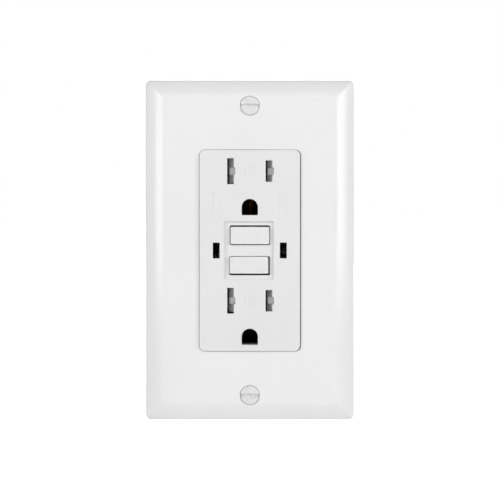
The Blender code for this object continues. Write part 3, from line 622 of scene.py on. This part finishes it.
def face_cover():
    """The receptacle's face, with every opening's edge rounded as it is moulded."""
    rings = []
    edge = 0.14
    for step in range(6):
        angle = step / 5 * math.pi / 2
        inset = edge * (1 - math.sin(angle))
        depth = FACE_FRONT + edge * (1 - math.cos(angle))
        rings.append(rounded(grown(FACE_SIZE, -inset), FACE_CORNER - inset, depth, steps=8))
    rings.append(rounded(FACE_SIZE, FACE_CORNER, 2.0, steps=8))
    cover = to_object("receptacle_face", loft(rings))
    add(cover, rounded_block(BODY_SIZE, 1.5, FLANGE))
    cut(cover, rounded_block(grown(FACE_SIZE, -1.8), 1.0, (FACE_INSIDE, 9.0)))
    cut(cover, rounded_block((30.0, 120.0), 0.5, (3.5, 9.0)))
    cut(cover, mouth(WELL["size"], 0.5, FACE_FRONT, WELL["floor"], WELL["x"], WELL["z"], lip=(0.16, 0.2)))
    through = FACE_INSIDE + 1.0
    for spec in BUTTONS.values():
        width, height = spec["size"]
        window = (width + sum(spec["gap_x"]), height + sum(spec["gap_z"]))
        x = spec["place"][0] + (spec["gap_x"][1] - spec["gap_x"][0]) / 2
        z = spec["place"][1] + (spec["gap_z"][1] - spec["gap_z"][0]) / 2
        cut(cover, mouth(window, 0.5, WELL["floor"], through, x, z, lip=spec["lip"]))
    for side in SIDES.values():
        place = (side * WINDOW["x"], 0.0)
        cut(cover, mouth(WINDOW["size"], 0.15, FACE_FRONT, through, *place, lip=(0.06, 0.06)))
        for end in ENDS.values():
            hole = [(0.9, 1.4), (9.0, 1.4)]
            cut(cover, turned(hole, centre=(side * CASE_SCREW[0], end * CASE_SCREW[1]), steps=24))
    for end, z in BLADE_Z.items():
        ground = z - GROUND_DROP
        depths = [(0.22, FACE_FRONT - 1), (0.16, FACE_FRONT), (0.05, FACE_FRONT + 0.05)]
        depths += [(0.0, FACE_FRONT + 0.18), (0.0, through)]
        cut(cover, loft([ground_ring(ground, grow, y) for grow, y in depths]))
        for name, side in SIDES.items():
            size = (SLOT_WIDTH, SLOT_HEIGHT[name])
            x = side * BLADE_X
            lip = (0.06, 0.06)
            cut(cover, mouth(size, 0.12, FACE_FRONT, through, x, z, lip=lip, steps=3))
            notch = (NOTCH[0] + 1.0, NOTCH[1])
            edge = x + SLOT_WIDTH / 2 + NOTCH[0] - notch[0] / 2
            cut(cover, mouth(notch, 0.12, FACE_FRONT, through, edge, z, lip=lip, steps=3))
    add(cover, *face_marks())
    finish_piece(cover, "face_cover", angle=30)


def bar(x, z, size, y):
    """A low raised bar with softened ends, used for every generic mark."""
    rings = []
    for inset, rise in ((0.0, -0.3), (0.0, 0.06), (0.05, 0.12)):
        rings.append(rounded(grown(size, -inset), min(size) / 2 - inset, y - rise, x, z, steps=3))
    return loft(rings)


def face_marks():
    """Rows of plain raised dashes where a maker would put words: they hold no lettering."""
    marks = []
    dashes = (1.9, 1.2, 2.4, 1.5)
    for side in SIDES.values():
        for column, x in enumerate((9.9, 12.2)):
            z = 10.0
            for row in range(4):
                length = dashes[(row + column) % len(dashes)]
                marks.append(bar(side * x, z + length / 2, (0.45, length), FACE_FRONT))
                z += length + 0.9
    for z in BLADE_Z.values():
        for x, length in ((-1.6, 3.4), (0.0, 4.6), (1.6, 3.4)):
            marks.append(bar(x, z, (0.45, length), FACE_FRONT))
    return marks


def shutter(end):
    """A shutter: a ramp behind each slot, deep on the left, with a tab in the middle of its height."""
    node = f"shutter_{end}"
    low, high = span(node)
    z = BLADE_Z[end]
    size = (high.x - low.x, high.z - low.z)
    face = low.y + 0.25
    middle_x = (low.x + high.x) / 2
    plate = to_object(f"{node}_fine", rounded_block(size, 0.6, (face, high.y), middle_x, z))
    reach = SLOT_HEIGHT["left"] / 2 + 0.2
    toe = 0.15
    for side in SIDES.values():
        centre = side * BLADE_X
        start = centre - SLOT_WIDTH / 2 + 0.42
        end_x = centre + SLOT_WIDTH / 2 - 0.3
        away = centre - SHUTTER_TRAVEL - SLOT_WIDTH / 2 - NOTCH[0] / 2
        ramp = [(away, face - 1), (end_x, face - 1), (end_x, face)]
        ramp += [(start, high.y - toe), (start, high.y + 1), (away, high.y + 1)]
        cut(plate, loft([[(x, y, z + up) for x, y in ramp] for up in (-reach, reach)]))
        tab = centre + 0.62
        steps = [((2.6, 2.8), 0.5, face + 0.9), ((2.3, 2.6), 0.5, face)]
        steps += [((1.8, 2.35), 0.4, low.y - 0.04), ((1.4, 2.1), 0.3, low.y - 0.18)]
        add(plate, loft([rounded(foot, radius, y, tab, z, 4) for foot, radius, y in steps]))
    relief = (-BLADE_X, z - SLOT_HEIGHT["left"] / 2 + 0.2)
    depths = (low.y - 1, high.y + 1)
    cut(plate, rounded_block((SLOT_WIDTH + 0.6, 0.5), 0.1, depths, *relief, steps=2))
    finish_piece(plate, node, f"{end}_shutter_body", angle=35)


def light_pipe(name):
    """A dark lens with a softened front and a small dome that catches the light."""
    node = f"light_pipe_{name}"
    low, high = span(node)
    x = middle(node).x
    size = grown(WINDOW["size"], -0.06)
    rings = []
    for inset, depth in ((0.25, 0.0), (0.08, 0.06), (0.0, 0.25), (0.0, 1.5)):
        rings.append(rounded(grown(size, -inset), 0.25, low.y + depth, x))
    pipe = to_object(f"{node}_fine", loft(rings))
    dome = [(low.y + 0.2, 0.42), (low.y - 0.02, 0.36), (low.y - 0.12, 0.25), (low.y - 0.16, 0.1)]
    add(pipe, turned(dome, centre=(x + 0.3, 1.2), steps=24))
    collar = (FACE_INSIDE + GAP, -3.0)
    add(pipe, rounded_block(grown(WINDOW["size"], 0.4), 0.3, collar, x))
    add(pipe, rounded_block((1.5, 1.8), 0.3, (-3.5, high.y), x))
    finish_piece(pipe, node, angle=40)


def box_screw(end):
    """A pan head with a slot, over a long threaded shank with a blunt tip."""
    node = f"box_screw_{end}"
    high = span(node)[1]
    z = middle(node).z
    head = [(-3.0, 0.02), (-2.99, 1.2), (-2.94, 2.2), (-2.75, 2.9), (-2.4, 3.3)]
    rim = [(-2.1, 3.4), (-1.62, 3.4), (-1.5, 3.3)]
    shank = [(-1.5, 1.5), (-0.9, 1.3), (high.y - 0.4, 1.3), (high.y, 0.9)]
    screw = to_object(f"{node}_fine", turned([*head, *rim, *shank], centre=(0, z), steps=48))
    add(screw, thread("y", (0.2, high.y - 0.4), 1.25, 1.62, (0, z)))
    cut(screw, slot_cutter(z, 1.0, (-4.0, -2.1)))
    finish_piece(screw, node, angle=30)


def button(name):
    """A cap with a gently crowned top, its flange, its stem and, on one, two plain engraved bars."""
    spec = BUTTONS[name]
    node = f"{name}_button"
    low, high = span(node)
    x, z = spec["place"]
    rings = []
    crown = ((0.9, 0.0), (0.3, 0.01), (0.12, 0.04), (0.03, 0.1), (0.0, 0.2), (0.0, 3.4))
    for inset, depth in crown:
        size = grown(spec["size"], -inset)
        rings.append(rounded(size, max(0.4 - inset, 0.2), low.y + depth, x, z))
    cap = to_object(f"{node}_fine", loft(rings))
    flange = (low.y + 3.2, low.y + 3.7)
    add(cap, rounded_block((15.0, spec["size"][1] + 0.2), 0.5, flange, z=z))
    add(cap, turned([(flange[0] + 0.1, 2.0), (1.0, 2.0)], centre=(0, z), steps=32))
    if name == "test":
        add(cap, turned([(0.5, 0.9), (high.y, 0.9)], centre=(0, z), steps=24))
    else:
        cut(cap, turned([(-1.0, 1.6), (2.0, 1.6)], centre=(0, z), steps=24))
        for up, width in ((0.75, 5.2), (-0.75, 3.6)):
            depths = (low.y - 1, low.y + 0.1)
            cut(cap, rounded_block((width, 0.45), 0.2, depths, x, z + up, steps=3))
    finish_piece(cap, node, f"{name}_button_body", angle=30)


# ---- Springs and windings ------------------------------------------------------------------------


SPRINGS = {
    "test_spring": ("y", 2.7, 0.2, 5, "test_press", (0, 1, 0)),
    "reset_spring": ("y", 2.7, 0.2, 5, "reset_press", (0, 1, 0)),
    "shutter_spring_upper": ("x", 0.7, 0.12, 6, "upper_shutter_slide", (1, 0, 0)),
    "shutter_spring_lower": ("x", 0.7, 0.12, 6, "lower_shutter_slide", (1, 0, 0)),
    "plunger_spring": ("z", 2.5, 0.2, 4, "plunger_trip", (0, 0, 1)),
}


def spring(node, axis, radius, wire, turns, joint, direction):
    """A coil along the axis, the full length of its node's box."""
    low, high = span(node)
    centre = (low + high) / 2
    letters = "xyz"
    along = letters.index(axis)
    across = [i for i in range(3) if i != along]
    run = (low[along], high[along])
    place = (centre[across[0]], centre[across[1]])
    coil = to_object(f"{node}_fine", helix(axis, run, radius, wire, turns, place))
    finish_piece(coil, node, angle=60)
    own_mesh(coil)


def swelled(value):
    """A cosine or sine drawn towards a square, for a section with full corners."""
    return math.copysign(abs(value) ** 0.6, value)


def ridged_ring(node, inner, outer, turns):
    """A toroid wound all round: its section swells and pinches with each turn."""
    low, high = span(node)
    centre = (low + high) / 2
    half = (high.y - low.y) / 2
    steps_a_turn = 4
    steps = turns * steps_a_turn
    rings = []
    for step in range(steps):
        angle = 2 * math.pi * step / steps
        pinch = 0.08 * (1 + math.cos(2 * math.pi * step / steps_a_turn))
        ring = []
        for i in range(16):
            around = 2 * math.pi * i / 16
            radius = (inner + outer) / 2 + ((outer - inner) / 2 - pinch) * swelled(math.cos(around))
            x = centre.x + radius * math.cos(angle)
            y = centre.y + (half - pinch) * swelled(math.sin(around))
            z = centre.z + radius * math.sin(angle)
            ring.append((x, y, z))
        rings.append(ring)
    ring_piece = to_object(f"{node}_fine", loft(rings, closed=True))
    finish_piece(ring_piece, node, angle=60)


def solenoid_winding():
    """Wire laid in neat turns over the bobbin."""
    node = "solenoid_winding"
    low, high = span(node)
    centre = (low + high) / 2
    turns = 30
    wire = (high.z - low.z) / turns / 2
    profile = [(low.z, 3.0)]
    crest = 4.1
    for turn in range(turns):
        start = low.z + 2 * wire * turn
        for i in range(5):
            angle = math.pi * i / 4
            along = start + wire * (1 - math.cos(angle))
            profile.append((along, crest - wire + wire * math.sin(angle)))
    profile.append((high.z, 3.0))
    rings = [circle(along, radius, "z", (centre.x, centre.y), 40) for along, radius in profile]
    finish_piece(to_object("solenoid_winding_fine", loft(rings, closed=True)), node, angle=50)


# ---- Carried-over pieces ---------------------------------------------------------------------------


BEVELS = {  # how far each piece's edges are rounded, in millimetres
    "rear_case": 0.6,
    "mounting_strap": 0.15,
    "separator": 0.15,
    "contact_carriage": 0.15,
    "transformer_housing": 0.15,
    "solenoid_bobbin": 0.1,
    "circuit_board": 0.06,
    "control_chip": 0.08,
    "capacitor": 0.12,
    "varistor": 0.2,
}
DEFAULT_BEVEL = 0.08


def carry_over(node):
    """A CAD node keeps its mesh; it gets softened edges, clean shading and its material."""
    piece = NODES[node]
    soften(piece, BEVELS.get(node, DEFAULT_BEVEL), angle=42)
    for polygon in piece.data.polygons:
        polygon.use_smooth = True
    weights = piece.modifiers.new("weights", "WEIGHTED_NORMAL")
    weights.keep_sharp = True
    piece.data.materials.clear()
    # The ground clips take the brass painted nearly black: painted shade in the ground holes.
    finish = "shade_darkened_brass" if node.startswith("ground_clip") else SLOT_OF[node]
    piece.data.materials.append(MATERIALS[finish])


# ---- Stage, light and camera -------------------------------------------------------------------------


CAMERA_PLACE = (0.0055, -0.4, 0.0105)  # a little right of the plate's centre, and above it
PLATE_SHARE = 0.6743  # how much of the picture's height the plate takes
FLOOR_GLOW = 0.14  # light that the floor gives back, as a lit table would
FLOOR_LIFT = 0.75  # how much more the camera sees, so that the floor reads as white paper


def stage():
    """A pale floor under the plate's lower edge, wide enough for every view."""
    half = 40.0
    level = PLATE_LOW.z * MM - 0.0002
    mesh = bpy.data.meshes.new("floor")
    corners = [(-half, -half, level), (half, -half, level), (half, half, level), (-half, half, level)]
    mesh.from_pydata(corners, [], [(0, 1, 2, 3)])
    floor = bpy.data.objects.new("floor", mesh)
    bpy.context.scene.collection.objects.link(floor)
    finish = Finish("floor", specular=0.1)
    tint = finish.noise(6.0, 2.0)
    lit = finish.ramp(tint, [(0.3, (0.78, 0.78, 0.78)), (0.7, (0.8, 0.8, 0.8))])
    seen = finish.ramp(tint, [(0.3, (0.98, 0.98, 0.98)), (0.7, (1.0, 1.0, 1.0))])
    path = finish.tree.nodes.new("ShaderNodeLightPath")
    finish.colour(finish.blend(path.outputs["Is Camera Ray"], lit, seen))
    glow = finish.tree.nodes.new("ShaderNodeMath")
    glow.operation = "MULTIPLY_ADD"
    glow.inputs[1].default_value = FLOOR_LIFT
    glow.inputs[2].default_value = FLOOR_GLOW
    finish.link(path.outputs["Is Camera Ray"], glow.inputs[0])
    finish.link(glow.outputs["Value"], finish.shader.inputs["Emission Strength"])
    finish.shader.inputs["Emission Color"].default_value = (1.0, 1.0, 1.0, 1.0)
    finish.shader.inputs["Roughness"].default_value = 0.9
    mesh.materials.append(finish.material)


def area_light(name, place, size, power, target=(0.0, 0.0, 0.0)):
    data = bpy.data.lights.new(name, "AREA")
    data.shape = "RECTANGLE"
    data.size, data.size_y = size
    data.energy = power
    lamp = bpy.data.objects.new(name, data)
    lamp.location = place
    lamp.rotation_euler = (Vector(target) - Vector(place)).to_track_quat("-Z", "Y").to_euler()
    bpy.context.scene.collection.objects.link(lamp)


def light():
    world = bpy.data.worlds.new("studio")
    world.use_nodes = True
    nodes, links = world.node_tree.nodes, world.node_tree.links
    background = nodes["Background"]
    background.inputs["Color"].default_value = (1.0, 1.0, 1.0, 1.0)
    background.inputs["Strength"].default_value = 0.21
    seen = nodes.new("ShaderNodeBackground")
    seen.inputs["Color"].default_value = (1.0, 1.0, 1.0, 1.0)
    seen.inputs["Strength"].default_value = 1.0
    path = nodes.new("ShaderNodeLightPath")
    choose = nodes.new("ShaderNodeMixShader")
    links.new(path.outputs["Is Camera Ray"], choose.inputs["Fac"])
    links.new(background.outputs["Background"], choose.inputs[1])
    links.new(seen.outputs["Background"], choose.inputs[2])
    links.new(choose.outputs["Shader"], nodes["World Output"].inputs["Surface"])
    bpy.context.scene.world = world
    area_light("left", (-0.56, -0.45, 0.195), (0.42, 0.5), 2.25)
    area_light("right", (0.56, -0.45, 0.195), (0.46, 0.5), 2.6)
    area_light("front", (0.0, -1.25, 1.0), (1.3, 0.8), 2.5)
    area_light("rear", (0.3, 1.2, 0.4), (0.9, 0.9), 5.0)


def camera():
    """Square on to the wall: a small shift brings the plate to the middle of the picture."""
    data = bpy.data.cameras.new("camera")
    data.sensor_width = 36.0
    field = PLATE_HEIGHT * MM / PLATE_SHARE
    data.lens = data.sensor_width * -CAMERA_PLACE[1] / field
    data.shift_x = -CAMERA_PLACE[0] / field
    data.shift_y = -CAMERA_PLACE[2] / field
    view = bpy.data.objects.new("camera", data)
    view.location = CAMERA_PLACE
    view.rotation_euler = (math.pi / 2, 0.0, 0.0)
    bpy.context.scene.collection.objects.link(view)
    bpy.context.scene.camera = view
    bpy.context.scene.view_settings.view_transform = "Standard"


# ---- The whole scene ---------------------------------------------------------------------------------

wall_plate()
face_cover()
for end_name in ENDS:
    plate_screw(end_name)
    shutter(end_name)
    box_screw(end_name)
for side_name in SIDES:
    light_pipe(side_name)
for button_name in BUTTONS:
    button(button_name)
for spring_name, facts in SPRINGS.items():
    spring(spring_name, *facts)
for ring_name, ring_turns in {"sense_transformer": 44, "neutral_transformer": 30}.items():
    ridged_ring(ring_name, 4.3, 7.5, ring_turns)
solenoid_winding()
replaced = {"wall_plate", "face_cover", "sense_transformer", "neutral_transformer", "solenoid_winding"}
replaced |= {f"{kind}_{end}" for kind in ("plate_screw", "box_screw", "shutter") for end in ENDS}
replaced |= {f"light_pipe_{side}" for side in SIDES}
replaced |= {f"{name}_button" for name in BUTTONS}
replaced |= set(SPRINGS)
for node_name in NODES:
    if node_name not in replaced:
        carry_over(node_name)
stage()
light()
camera()
